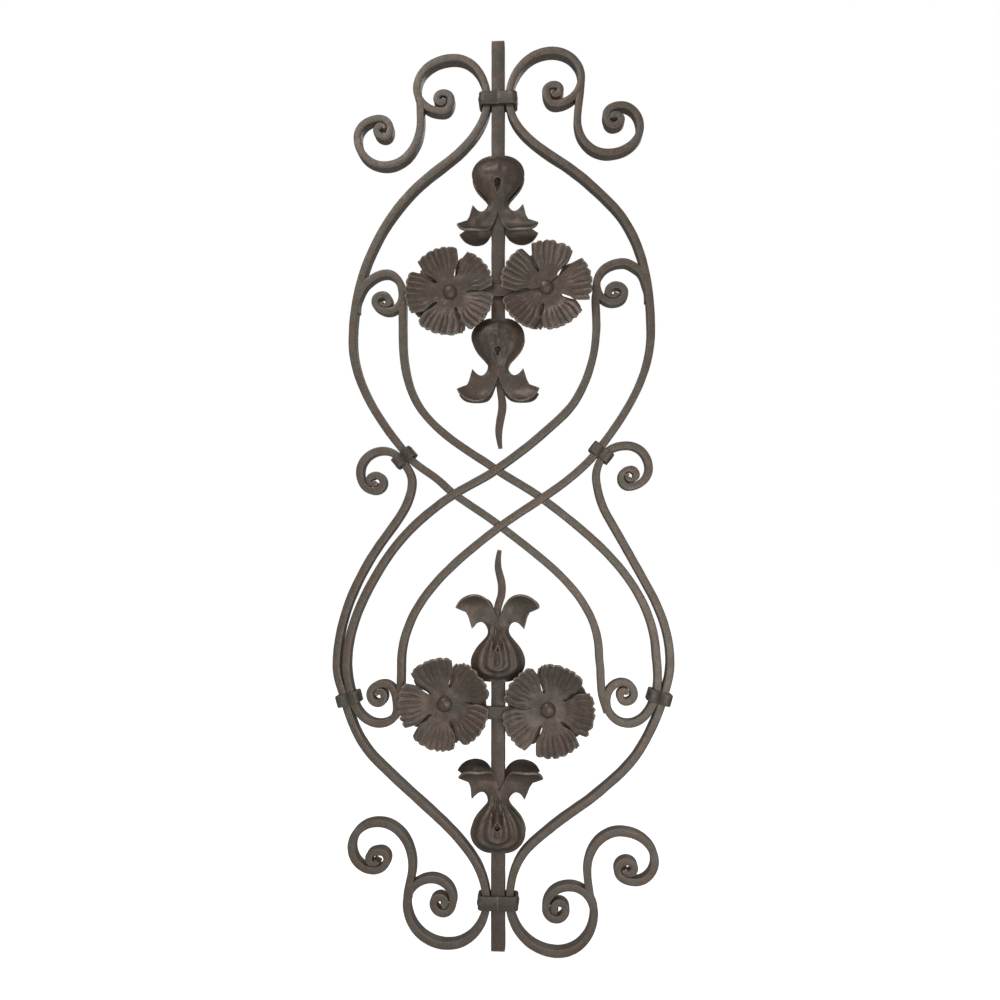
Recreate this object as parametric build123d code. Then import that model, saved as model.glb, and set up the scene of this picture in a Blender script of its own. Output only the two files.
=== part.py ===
from build123d import *
import os
from math import acos, asin, atan2, ceil, cos, hypot, pi, radians, sin, sqrt

# A wrought iron panel: forged flat bars in interlaced scrolls, held by wrapped collars to a
# broken square stem, with sheet flowers riveted to cross straps and sheet leaves on the stem.
# The panel stands in the XZ plane, front towards -Y, +Z up, origin at the stem's bottom end.
# Marks of the scroll drawing are (x, z, heading) on a sheet 1000 units high; a heading is the
# bar's direction in degrees, 0 towards +X and 90 up. A fourth number is a forged-down width.

panel_height = 1000.0
layout = panel_height / 1000

# Bar stock and how it is fitted
stem_side = 14.0
bar_face = 8.0
bar_depth = 14.0
bar_spacing = 0.3
bend_flatness = 0.4
lap_clearance = 0.3
lap_side_room = 0.6
weld_clearance = 0.15

# Stem tails
tail_depth = 7.0
stem_end_chamfer = 0.8

# Collars
collar_wall = 4.0
collar_length = 15.0
side_collar_length = 13.0
collar_fit = 0.2
collar_bend_room = 1.2
side_bend_room = 1.5
stem_room = 1.4
collar_ridge = 1.0
collar_ridge_length = 5.0
collar_seam = 0.6

# Straps and rivets
strap_thickness = 5.0
strap_height = 14.0
rivet_head_radius = 8.5
rivet_head_height = 4.5
rivet_shank_radius = 3.5
rivet_clearance = 0.2
rivet_sides = 10
rivet_dome_taper = 25.0

# Flowers
sheet = 2.5
petals = 5
flower_radius = 49.0
back_flower_radius = 45.5
hub_radius = 18.0
slot_root = 21.0
slot_width = 2.6
petal_cup = 8.0
petal_flute = 0.8

# Leaves
lobe_root = 58.0
leaf_slot_width = 7.0
leaf_slot_length = 17.0
leaf_slot_place = 34.0

stem_face = stem_side / 2
neck = stem_face + stem_room + bar_face / 2
strap_front = -stem_face - strap_thickness


def beside(place, side):
    """A mark on one of two bars that lie side by side in a collar."""
    x, z, heading = place
    shift = side * (bar_face + bar_spacing) / 2 / layout
    return (x - shift * sin(radians(heading)), z + shift * cos(radians(heading)), heading)


# Places that several bars share, on the drawing
top_collar_place = (0, 932.5, 270)
bottom_collar_place = (0, 50, 270)
left_waist = (-104.5, 526.5, 309)
right_waist = (113, 530.5, 232)
lower_left = (-163.5, 262, 286)
lower_right = (173, 266.5, 253)
main_crossing = (2.5, 450)
upper_crossing = (-2, 512.5)
left_crossing = (-48.5, 485.5)
right_crossing = (48, 480.5)
main_falling = (*main_crossing, 322)
main_rising = (*main_crossing, 217)
upper_falling = (*upper_crossing, 325)
upper_rising = (*upper_crossing, 215)
left_falling = (*left_crossing, 324)
left_rising = (*left_crossing, 212)
right_falling = (*right_crossing, 323)
right_rising = (*right_crossing, 214)
collar_side = neck / layout

left_main_marks = [
    (-61, 935, 270, 3), (-65, 930.5, 180, 4), (-69.8, 935.5, 90, 5), (-62.5, 942, 0, 6),
    (-53.4, 934, 270), (-63, 920.5, 180), (-92.6, 948, 90), (-51.4, 982.8, 0),
    (-collar_side, 932.5, 270), (-53.7, 864.6, 219), (-94, 831.7, 225), (-163.4, 660, 270),
    beside(left_waist, 1), (-66, 501, 320), left_falling, main_falling,
    (109, 312, 270), (110.5, 290, 270), (110, 264, 268),
]
right_main_marks = [
    (61, 941, 270, 3), (65, 936.5, 0, 4), (70.2, 941.5, 90, 5), (63, 947.6, 180, 6),
    (54, 940.5, 270), (64.5, 925.4, 0), (93.9, 955, 90), (60, 987.4, 180),
    (collar_side, 932.5, 270), (69.4, 859.6, 326), (125.6, 809.5, 313), (168.6, 665, 270),
    beside(right_waist, -1), right_rising, main_rising, (-106, 300, 270), (-105, 268, 268),
]
left_inner_marks = [
    (-107, 704, 268), (-107, 672, 270), (-85, 579, 306), upper_falling, right_falling,
    (170, 315, 273), beside(lower_right, -1), (139, 238.5, 180), (116.4, 262, 90),
    (134, 282, 0, 7.5), (146, 270, 270, 6.5), (137, 261.5, 180, 5), (131, 268.5, 90, 4.5),
    (136, 273.5, 0, 4), (139, 269.5, 270, 3),
]
right_inner_marks = [
    (107.5, 703, 272), (109, 675, 270), (85.5, 589, 238), (48, 551, 222), upper_rising,
    left_rising, (-128, 407.5, 238), (-166, 300, 270), beside(lower_left, 1),
    (-129, 235.6, 0), (-110, 252, 90), (-125, 278.5, 180, 7.5), (-139.5, 267, 270, 6.5),
    (-130.5, 257.5, 0, 5), (-124, 265, 90, 4.5), (-129, 270.5, 180, 4), (-133, 266.5, 270, 3),
]
left_outer_marks = [
    (-135.2, 499.4, 250, 2.6), (-138.2, 496.6, 180, 3.2), (-143, 500.5, 90, 4),
    (-135.3, 506.6, 0, 5), (-127.2, 498.3, 270, 5.8), (-137.1, 489.2, 180, 6.8),
    (-153.3, 510, 90), (-127.8, 534, 0),
    beside(left_waist, -1), (-95.5, 498, 268), (-131.7, 428.7, 236), (-177, 298, 270),
    beside(lower_left, -1), (-132, 196, 317), (-74, 144.5, 319), (-collar_side, 50, 270),
    (-54, 4.2, 180), (-97.8, 46, 90), (-71, 72.5, 0), (-48, 51, 270, 7.5),
    (-58.5, 37.3, 180, 6.5), (-69.2, 47.5, 90, 5.5), (-62, 54, 0, 4.5), (-56.5, 48.5, 270, 4),
    (-60, 45, 180, 3),
]
right_outer_marks = [
    (142.6, 506.8, 200, 2.4), (139.9, 504.7, 270, 3.2), (144.8, 500.2, 0, 4),
    (150.8, 505.7, 90, 4.8), (143.8, 512, 180, 5.5), (134.2, 503.1, 270, 6),
    (142.5, 492.9, 0), (164.5, 513, 90),
    (141, 538, 180), beside(right_waist, 1), (107.5, 500, 276), (119.8, 460, 300),
    (162, 384, 299), (185, 305, 270), beside(lower_right, 1), (150.5, 209, 237),
    (105.7, 164, 220), (57.5, 128.5, 220), (24, 96, 238), (collar_side, 50, 270),
    (63, -1, 0), (101.7, 41, 90), (76, 67.3, 180), (50.7, 45, 270, 7.5),
    (62, 33.6, 0, 6.5), (72, 44, 90, 5.5), (65, 51, 180, 4.5), (59.3, 44.5, 270, 4),
    (63, 41, 0, 3),
]
upper_left_side_marks = [
    (-156, 710, 70), (-147, 724.8, 40), (-126.4, 734.3, 0), (-107.4, 709.5, 270),
    (-123.6, 691, 180, 6.6), (-138.3, 702.7, 90, 5.5), (-129.4, 709.8, 0, 4.8),
    (-122.5, 702.4, 270, 4), (-127.6, 697.6, 180, 3.2), (-131, 701, 80, 2.6),
]
upper_right_side_marks = [
    (162.6, 719, 105), (154.6, 734.2, 145), (138.2, 742, 180), (109.3, 717.7, 270),
    (127.2, 697.2, 0, 6.6), (140.2, 707.5, 90, 5.5), (130.5, 716.4, 180, 4.8),
    (121.9, 708.8, 270, 4), (128, 703.6, 0, 3.2), (132, 707.4, 95, 2.6),
]
upper_left_curl_marks = [
    (-88.7, 936, 270), (-88, 910, 270), (-127.8, 859.2, 180), (-160.3, 892.5, 90),
    (-136.4, 914, 0, 7.2), (-122.8, 902, 270, 5.8), (-129, 891.9, 180, 5),
    (-138.2, 900.2, 90, 4.2), (-132, 905.7, 0, 3.6), (-129.2, 901.8, 270, 2.6),
]
upper_right_curl_marks = [
    (93.5, 948, 266), (89.2, 905, 270), (123.2, 867.1, 0), (159, 896, 90),
    (137.3, 921.7, 180, 7.2), (121.2, 910.5, 270, 5.8), (128.8, 898, 0, 5),
    (138.1, 905, 90, 4.2), (131.6, 910.8, 180, 3.6), (128, 906.4, 270, 2.6),
]
lower_left_curl_marks = [
    (-97, 50, 94), (-92.1, 85.3, 90), (-129.7, 130.4, 180), (-158.1, 104.2, 270),
    (-134.1, 80.2, 0, 7.2), (-119.4, 92.8, 90, 6), (-127, 100.3, 180, 5),
    (-139.2, 93.3, 270, 4.2), (-133.9, 87.2, 0, 3.4), (-130, 90.8, 90, 2.6),
]
lower_right_curl_marks = [
    (98, 54, 94), (94.8, 83.7, 90), (130.7, 125, 0), (166, 95.7, 270),
    (145, 73.9, 180, 7.2), (126.6, 85.8, 90, 6), (136.5, 95.2, 0, 5),
    (144.4, 88.2, 270, 4.2), (138.5, 82.3, 180, 3.4), (134, 86.6, 90, 2.6),
]

# Straps, and the leaves that lie beside them and the collars
upper_strap_place = 711
lower_strap_place = 250
middle_leaf_drop = 28
lower_leaf_lift = 29
upper_leaf_drop = 64.5
bottom_leaf_lift = 49
middle_leaf_place = upper_strap_place - middle_leaf_drop
lower_leaf_place = lower_strap_place + lower_leaf_lift

# Stem tails: inside its last leaf each stem is drawn out to a thin point
tail_cover = 23
tail_root_length = 34
upper_stem_end = middle_leaf_place - tail_cover
lower_stem_end = lower_leaf_place + tail_cover - 2
upper_tail_start = upper_stem_end - tail_root_length
lower_tail_start = lower_stem_end + tail_root_length
upper_tail_marks = [
    (0, upper_tail_start + 1, 270, 7), (2, upper_tail_start - 23, 278, 7.5),
    (4.6, upper_tail_start - 42, 270, 9), (2, upper_tail_start - 60, 261, 8.5),
    (0.6, upper_tail_start - 73, 270, 7.5), (2.4, upper_tail_start - 90, 280, 4.5),
]
lower_tail_marks = [
    (0, lower_tail_start - 1, 92, 7), (-1.2, lower_tail_start + 22, 85, 8),
    (2.4, lower_tail_start + 37, 70, 8.5), (4, lower_tail_start + 50, 92, 8.5),
    (1.8, lower_tail_start + 62, 105, 8), (-0.3, lower_tail_start + 74, 90, 7),
    (1.6, lower_tail_start + 90, 76, 4.5),
]

upper_strap_marks = [
    (-62, upper_strap_place - 3, 2), (0, upper_strap_place, 2), (62, upper_strap_place + 2.5, 2),
]
lower_strap_marks = [
    (-66, lower_strap_place + 10.5, 350), (-14, lower_strap_place, 356),
    (14, lower_strap_place - 0.5, 3), (63, lower_strap_place + 4.5, 6),
]

# Flowers: place on their strap and the direction of one slot, front and back
flower_places = {
    "upper_left": (-52.7, upper_strap_place - 2.1, 1, 0),
    "upper_right": (53.3, upper_strap_place + 1.9, 44.4, 180),
    "lower_left": (-56.8, lower_strap_place + 8.8, 1.3, 0),
    "lower_right": (54, lower_strap_place + 3.5, 30.9, 180),
}

# Leaves: height of the bulb's closed end, which way the lobes point, and how far they lean
leaf_places = {
    "upper": (top_collar_place[1] - upper_leaf_drop, -1, 0),
    "middle": (middle_leaf_place, -1, 1),
    "lower": (lower_leaf_place, 1, 0),
    "bottom": (bottom_collar_place[1] + bottom_leaf_lift, 1, 5),
}


def turned(angle):
    """An angle brought between -pi and pi."""
    return (angle + pi) % (2 * pi) - pi


def reach(leave, arrive):
    """How far a curve's handle reaches, as a share of its chord, for a round bend."""
    skew = (sin(leave) - sin(arrive) / 16) * (sin(arrive) - sin(leave) / 16)
    skew *= sqrt(2) * (cos(leave) - cos(arrive))
    round_off = 1 + (sqrt(5) - 1) / 2 * cos(leave) + (3 - sqrt(5)) / 2 * cos(arrive)
    return (2 + skew) / (3 * round_off)


def bend(start, end, stock):
    """Points along one bend of a bar: (x, z, direction, half width)."""
    x0, z0, h0 = start[0] * layout, start[1] * layout, radians(start[2])
    x1, z1, h1 = end[0] * layout, end[1] * layout, radians(end[2])
    chord = atan2(z1 - z0, x1 - x0)
    length = hypot(x1 - x0, z1 - z0)
    leave, arrive = turned(h0 - chord), turned(chord - h1)
    r0, r1 = reach(leave, arrive) * length, reach(arrive, leave) * length
    ax, az = x0 + r0 * cos(h0), z0 + r0 * sin(h0)
    bx, bz = x1 - r1 * cos(h1), z1 - r1 * sin(h1)
    w0 = start[3] if len(start) > 3 else stock
    w1 = end[3] if len(end) > 3 else stock
    turn = max(abs(leave) + abs(arrive), radians(1))
    step = 2 * acos(max(0.5, 1 - bend_flatness * turn / length))
    steps = ceil(turn / step)
    points = []
    for i in range(steps + 1):
        t = i / steps
        s = 1 - t
        x = s**3 * x0 + 3 * s * s * t * ax + 3 * s * t * t * bx + t**3 * x1
        z = s**3 * z0 + 3 * s * s * t * az + 3 * s * t * t * bz + t**3 * z1
        dx = s * s * (ax - x0) + 2 * s * t * (bx - ax) + t * t * (x1 - bx)
        dz = s * s * (az - z0) + 2 * s * t * (bz - az) + t * t * (z1 - bz)
        points.append((x, z, atan2(dz, dx), (s * w0 + t * w1) / 2))
    return points


def forged_bar(marks, width, front, back, extra=0.0):
    """A flat bar bent along its marks, between two depths."""
    line = bend(marks[0], marks[1], width)
    for start, end in zip(marks[1:], marks[2:]):
        line += bend(start, end, width)[1:]
    outline = []
    for side in (1, -1):
        edge = []
        for x, z, d, half in line:
            off = side * (half + extra)
            edge.append((x - off * sin(d), front, z + off * cos(d)))
        outline += edge if side == 1 else edge[::-1]
    face = Face(Wire.make_polygon(outline))
    return extrude(face, amount=back - front, dir=(0, 1, 0))


def scroll_bar(marks):
    return forged_bar(marks, bar_face, -bar_depth / 2, bar_depth / 2)


def weld_room(marks):
    """The space that a bar takes, with the weld's clearance round it."""
    reach_out = bar_depth / 2 + 1
    return forged_bar(marks, bar_face, -reach_out, reach_out, weld_clearance)


def largest(shape):
    return max(shape.solids(), key=lambda s: s.volume)


def lap_cutter(crossing, front):
    """A straight cutter along the other bar, through the front or back half of the stock."""
    x, z, heading = crossing
    half = bar_depth / 2
    side = -1 if front else 1
    cut = Box(5 * bar_face, half + lap_clearance, bar_face + 2 * lap_side_room)
    middle = side * (half - lap_clearance / 2) / 2
    at = Location((x * layout, middle, z * layout), (0, -heading, 0))
    return at * cut


def lapped(bar, crossings, front):
    for crossing in crossings:
        bar = bar - lap_cutter(crossing, front)
    return largest(bar)


def collar(place, inner, wall_room, length, ridge):
    """A band wrapped round bars side by side, its two ends meeting at a seam in front."""
    x, z, heading = place
    inner_depth = bar_depth + 2 * collar_fit
    inner_width = inner + 2 * wall_room
    outer_width = inner_width + 2 * collar_wall
    outer_depth = inner_depth + 2 * collar_wall
    band = Box(outer_width, outer_depth, length)
    band = chamfer(band.edges().filter_by(Axis.Z), collar_wall / 4)
    if ridge:
        band += Box(outer_width + 2 * ridge, outer_depth + 2 * ridge, collar_ridge_length)
    band -= Box(inner_width, inner_depth, length + 2)
    band -= Pos(0, -outer_depth / 2, 0) * Box(collar_seam, 2 * collar_wall, length + 2)
    turn = Plane(
        origin=(x * layout, 0, z * layout),
        x_dir=(-sin(radians(heading)), 0, cos(radians(heading))),
        z_dir=(cos(radians(heading)), 0, sin(radians(heading))),
    )
    return turn.location * band


def stem(low, high, tail_marks, tail_start):
    """A square bar, drawn out to a thin wavy tail at one end."""
    low, high, tail_start = low * layout, high * layout, tail_start * layout
    length = high - low
    bar = Pos(0, 0, (low + high) / 2) * Box(stem_side, stem_side, length)
    ends = bar.edges().group_by(Axis.Z)
    free_end = ends[0] if low < 1 else ends[-1]
    bar = chamfer(free_end, stem_end_chamfer)
    tail_face = tail_marks[0][3]
    root = low if low > 1 else high
    root_plane = Plane.XY.offset(root)
    tip_plane = Plane.XY.offset(tail_start)
    taper = loft([
        root_plane * Rectangle(stem_side, stem_side),
        tip_plane * Rectangle(tail_face, tail_depth),
    ])
    tail = forged_bar(tail_marks, tail_face, -tail_depth / 2, tail_depth / 2)
    return bar + taper + tail


def pressed_sheet(points, panels, thickness):
    """A closed solid from a sheet's front points and its panels, thickened backwards."""
    behind = [(x, y + thickness, z) for x, y, z in points]
    count = {}
    triangles = []
    for panel in panels:
        for a, b in zip(panel, panel[1:] + panel[:1]):
            key = (min(a, b), max(a, b))
            count.setdefault(key, []).append((a, b))
        for i in range(1, len(panel) - 1):
            triangles.append((panel[0], panel[i], panel[i + 1]))
    faces = []
    for corners in triangles:
        faces.append(Face(Wire.make_polygon([points[i] for i in corners])))
        faces.append(Face(Wire.make_polygon([behind[i] for i in corners])))
    for uses in count.values():
        if len(uses) == 1:
            a, b = uses[0]
            edge = [points[a], points[b], behind[b], behind[a]]
            faces.append(Face(Wire.make_polygon(edge)))
    return Solid(Shell(faces))


def flower(x, z, slot_angle, radius, hub_front, facing):
    """A five-petal rosette cupped towards one side; facing is -1 in front, 1 behind."""
    columns = (-1, -0.5, 0, 0.5, 1)
    edge_shape = (0.9, 0.99, 0.97, 0.99, 0.9)
    rings = (rivet_shank_radius + rivet_clearance * 3, hub_radius, slot_root, radius)
    points, index, panels = [], {}, []
    half_petal = pi / petals
    for p in range(petals):
        axis = radians(slot_angle) + (2 * p + 1) * half_petal
        for j, u in enumerate(columns):
            for k, ring in enumerate(rings):
                slot = asin(slot_width / 2 / ring) if k > 1 else 0
                angle = axis + u * (half_petal - slot)
                r = ring * edge_shape[j] if k == 3 else ring
                rise = max(0, r - hub_radius) / (radius - hub_radius) * petal_cup
                if k == 3:
                    rise += petal_flute * (1 if j % 2 else -1)
                spot = (
                    x * layout + r * cos(angle),
                    hub_front + facing * rise,
                    z * layout + r * sin(angle),
                )
                key = (p, j, k)
                if k < 2 and j == 4:
                    index[key] = index.get(((p + 1) % petals, 0, k))
                    if index[key] is not None:
                        continue
                if k < 2 and j == 0 and p > 0:
                    index[key] = index[(p - 1, 4, k)]
                    continue
                index[key] = len(points)
                points.append(spot)
    for p in range(petals):
        for j in range(4):
            for k in range(3):
                panels.append([
                    index[(p, j, k)], index[(p, j + 1, k)],
                    index[(p, j + 1, k + 1)], index[(p, j, k + 1)],
                ])
    return pressed_sheet(points, panels, sheet)


def leaf(top, way, lean, facing):
    """A pressed leaf: a domed bulb, a neck and two lobes that curl out."""
    # stations along the bulb and neck: distance from its closed end, half width, rim, crown
    stations = ((0, 9, 9, 10.5), (7, 22, 7.5, 13.5), (22, 29.5, 7.5, 17), (40, 19, 7.5, 15.5),
                (lobe_root, 11.5, 8.5, 12.5), (lobe_root + 15, 5, 12, 12.5))
    columns = (-1, -0.55, 0, 0.55, 1)
    # lobe outline: across, along, out from the middle plane
    lobe = {
        "small_tip": (27, 64, 18), "notch": (17.5, 72, 16), "outer_tip": (43.6, 87, 22),
        "corner": (37, 94, 22), "bottom": (22.5, 97, 21), "inner": (8.5, 88, 17),
        "middle": (21, 83, 19),
    }
    points, panels = [], []

    def add(across, along, out):
        x = across + lean * max(0, along - lobe_root) / 40
        points.append((x, facing * out, top * layout + way * along))
        return len(points) - 1

    rows = []
    for along, half, rim, crown in stations:
        row = []
        for u in columns:
            rise = 1 - u * u
            row.append(add(u * half, along, rim + (crown - rim) * rise))
        rows.append(row)
    for low, high in zip(rows, rows[1:]):
        for j in range(4):
            panels.append([low[j], low[j + 1], high[j + 1], high[j]])
    neck_row, fork_row = rows[-2], rows[-1]
    for side, neck_end, fork_end in ((-1, neck_row[0], fork_row[0]), (1, neck_row[4], fork_row[4])):
        spot = {name: add(side * a, b, c) for name, (a, b, c) in lobe.items()}
        panels += [
            [neck_end, spot["small_tip"], spot["notch"]],
            [neck_end, spot["notch"], fork_end],
            [fork_end, spot["notch"], spot["middle"]],
            [spot["notch"], spot["outer_tip"], spot["middle"]],
            [spot["outer_tip"], spot["corner"], spot["middle"]],
            [spot["corner"], spot["bottom"], spot["middle"]],
            [spot["bottom"], spot["inner"], spot["middle"]],
            [spot["inner"], fork_end, spot["middle"]],
        ]
    body = pressed_sheet(points, panels, -facing * sheet)
    slot_middle = top * layout + way * leaf_slot_place
    slot = Pos(0, facing * stem_side, slot_middle) * Box(
        leaf_slot_width, stem_side, leaf_slot_length)
    slot = chamfer(slot.edges().filter_by(Axis.Y), leaf_slot_width * 0.4)
    return body - slot


def rivet(x, z, front, back):
    """A rivet with a hammered dome on both ends, seated on the two flowers."""
    head = RegularPolygon(rivet_head_radius, rivet_sides)
    front_dome = extrude(Plane((0, front, 0), z_dir=(0, -1, 0)) * head,
                         amount=rivet_head_height, taper=rivet_dome_taper)
    back_dome = extrude(Plane((0, back, 0), z_dir=(0, 1, 0)) * head,
                        amount=rivet_head_height, taper=rivet_dome_taper)
    shank = extrude(Plane((0, front, 0), z_dir=(0, 1, 0))
                    * RegularPolygon(rivet_shank_radius, rivet_sides), amount=back - front)
    return Pos(x * layout, 0, z * layout) * (front_dome + shank + back_dome)


def strap(marks, places):
    bar = forged_bar(marks, strap_height, strap_front, -stem_face)
    for x, z, _, _ in places:
        hole = Plane((x * layout, strap_front - 1, z * layout), z_dir=(0, 1, 0))
        hole_radius = rivet_shank_radius + rivet_clearance
        bar -= extrude(hole * RegularPolygon(hole_radius, rivet_sides), amount=2 * strap_thickness)
    return bar


def write(shape, name):
    export_step(shape, f"parts/{name}.step")


os.makedirs("parts", exist_ok=True)

left_main = scroll_bar(left_main_marks)
right_main = scroll_bar(right_main_marks)
left_inner = scroll_bar(left_inner_marks)
right_inner = scroll_bar(right_inner_marks)

left_main = lapped(left_main, [main_rising, left_rising], True)
left_inner = lapped(left_inner, [upper_rising, right_rising], True)
right_main = lapped(right_main, [main_falling, right_falling], False)
right_inner = lapped(right_inner, [upper_falling, left_falling], False)

left_main = largest(left_main - weld_room(left_inner_marks[5:11]))
right_main = largest(right_main - weld_room(right_inner_marks[8:13]))
side_left = scroll_bar(upper_left_side_marks)
side_left = largest(side_left - weld_room(left_main_marks[10:13]))
side_right = scroll_bar(upper_right_side_marks)
side_right = largest(side_right - weld_room(right_main_marks[10:13]))
left_inner = largest(left_inner - weld_room(upper_left_side_marks[2:6]))
right_inner = largest(right_inner - weld_room(upper_right_side_marks[2:6]))

write(left_main, "left_main_bar")
write(right_main, "right_main_bar")
write(left_inner, "left_inner_bar")
write(right_inner, "right_inner_bar")
write(scroll_bar(left_outer_marks), "left_outer_bar")
write(scroll_bar(right_outer_marks), "right_outer_bar")
write(side_left, "upper_left_side_scroll")
write(side_right, "upper_right_side_scroll")

curls = {
    "upper_left": (upper_left_curl_marks, left_main_marks[4:8]),
    "upper_right": (upper_right_curl_marks, right_main_marks[4:8]),
    "lower_left": (lower_left_curl_marks, left_outer_marks[15:20]),
    "lower_right": (lower_right_curl_marks, right_outer_marks[19:24]),
}
for name, (marks, carrier) in curls.items():
    curl = largest(scroll_bar(marks) - weld_room(carrier))
    write(curl, f"{name}_corner_curl")

stem_bars = 2 * neck + bar_face
pair = 2 * bar_face + bar_spacing
write(collar(top_collar_place, stem_bars, collar_bend_room, collar_length, collar_ridge),
      "top_collar")
write(collar(bottom_collar_place, stem_bars, collar_bend_room, collar_length, collar_ridge),
      "bottom_collar")
for name, place in {
    "left_waist": left_waist, "right_waist": right_waist,
    "lower_left": lower_left, "lower_right": lower_right,
}.items():
    write(collar(place, pair, side_bend_room, side_collar_length, 0), f"{name}_collar")

stem_top = panel_height / layout
write(stem(upper_stem_end, stem_top, upper_tail_marks, upper_tail_start), "upper_stem")
write(stem(0, lower_stem_end, lower_tail_marks, lower_tail_start), "lower_stem")

write(strap(upper_strap_marks, [flower_places["upper_left"], flower_places["upper_right"]]),
      "upper_cross_strap")
write(strap(lower_strap_marks, [flower_places["lower_left"], flower_places["lower_right"]]),
      "lower_cross_strap")

rivets = []
for name, (x, z, front_slot, back_slot) in flower_places.items():
    front_hub = strap_front - sheet
    write(flower(x, z, front_slot, flower_radius, front_hub, -1), f"{name}_front_flower")
    back_hub = -stem_face
    write(flower(x, z, back_slot, back_flower_radius, back_hub, 1), f"{name}_back_flower")
    rivets.append(rivet(x, z, front_hub, back_hub + sheet))
write(Compound(rivets), "flower_rivets")

for name, (top, way, lean) in leaf_places.items():
    write(leaf(top, way, lean, -1), f"{name}_front_leaf")
    write(leaf(top, way, 0, 1), f"{name}_back_leaf")
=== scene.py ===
# %% [markdown]
# # A wrought iron panel
#
# The panel is a smith's drawing in iron. Flat bars are bent into scrolls, crossed in the
# middle, and held to a square stem by collars that were wrapped round them hot. Sheet flowers
# and leaves are cut out, pressed and riveted or welded on. The measured model is loaded first:
# it says where every piece goes, and each piece below stands for one of its nodes.

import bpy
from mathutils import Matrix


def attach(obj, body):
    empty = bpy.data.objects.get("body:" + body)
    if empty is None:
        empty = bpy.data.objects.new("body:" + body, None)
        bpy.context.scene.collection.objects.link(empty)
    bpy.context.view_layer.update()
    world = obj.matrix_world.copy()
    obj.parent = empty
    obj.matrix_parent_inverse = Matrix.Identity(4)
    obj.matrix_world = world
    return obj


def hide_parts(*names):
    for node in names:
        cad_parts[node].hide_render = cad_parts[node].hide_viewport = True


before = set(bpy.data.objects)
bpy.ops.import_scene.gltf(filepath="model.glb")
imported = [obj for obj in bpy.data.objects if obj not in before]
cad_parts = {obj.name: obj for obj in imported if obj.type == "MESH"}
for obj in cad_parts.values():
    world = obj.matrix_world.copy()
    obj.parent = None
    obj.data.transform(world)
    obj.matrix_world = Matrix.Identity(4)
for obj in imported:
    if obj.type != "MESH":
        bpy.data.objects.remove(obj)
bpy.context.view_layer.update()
print("nodes:", len(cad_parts))

# %% Tools and units
from math import atan2, ceil, cos, exp, hypot, pi, radians, sin, sqrt

import bmesh
import bpy
from mathutils import Matrix, Vector, noise
from mathutils.geometry import interpolate_bezier

MM = 0.001
DEPTH_WAY = Vector((0, 1, 0))
print("one unit of the drawing is", MM, "m")

# %% [markdown]
# ## Colours
#
# Colours are written as a painter would pick them, in hex. Blender's shaders want linear
# light, so one function turns them. A second small function adds a node with its settings and
# links, so that each finish below reads as a list of what it is made of.

# %% Colours and nodes
def linear(hex_colour):
    parts = [int(hex_colour[i:i + 2], 16) / 255 for i in (0, 2, 4)]
    return [c / 12.92 if c <= 0.04045 else ((c + 0.055) / 1.055) ** 2.4 for c in parts] + [1.0]


def add_node(tree, kind, settings=None, **links):
    """Adds a node; settings are attributes, links are socket values or (node, output) pairs."""
    node = tree.nodes.new(kind)
    for name, value in (settings or {}).items():
        setattr(node, name, value)
    for name, value in links.items():
        socket = node.inputs[int(name[1:])] if name[1:].isdigit() else node.inputs[name]
        if isinstance(value, tuple) and isinstance(value[0], bpy.types.Node):
            tree.links.new(value[0].outputs[value[1]], socket)
        else:
            socket.default_value = value
    return node


print("mid grey in linear light:", round(linear("808080")[0], 3))

# %% [markdown]
# ## The iron
#
# The bars are mild steel with forge scale left on, brushed and waxed. That gives the eye a dark
# brown-grey skin with broad warmer and cooler patches a few centimetres wide, a fine grain
# about two millimetres wide, and a soft, broken shine. Edges and ridges are rubbed paler where
# hands and brushes reach them. Noise textures make the patches, and bumps the finest dents.

# %% Forged iron finishes
PATCH_WIDE = 38 * MM
STAIN_WIDE = 17 * MM
DENT_WIDE = 9 * MM
GRAIN_WIDE = 2.2 * MM
DENT_DEEP = 1.2 * MM
PORE_DEEP = 0.35 * MM


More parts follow.
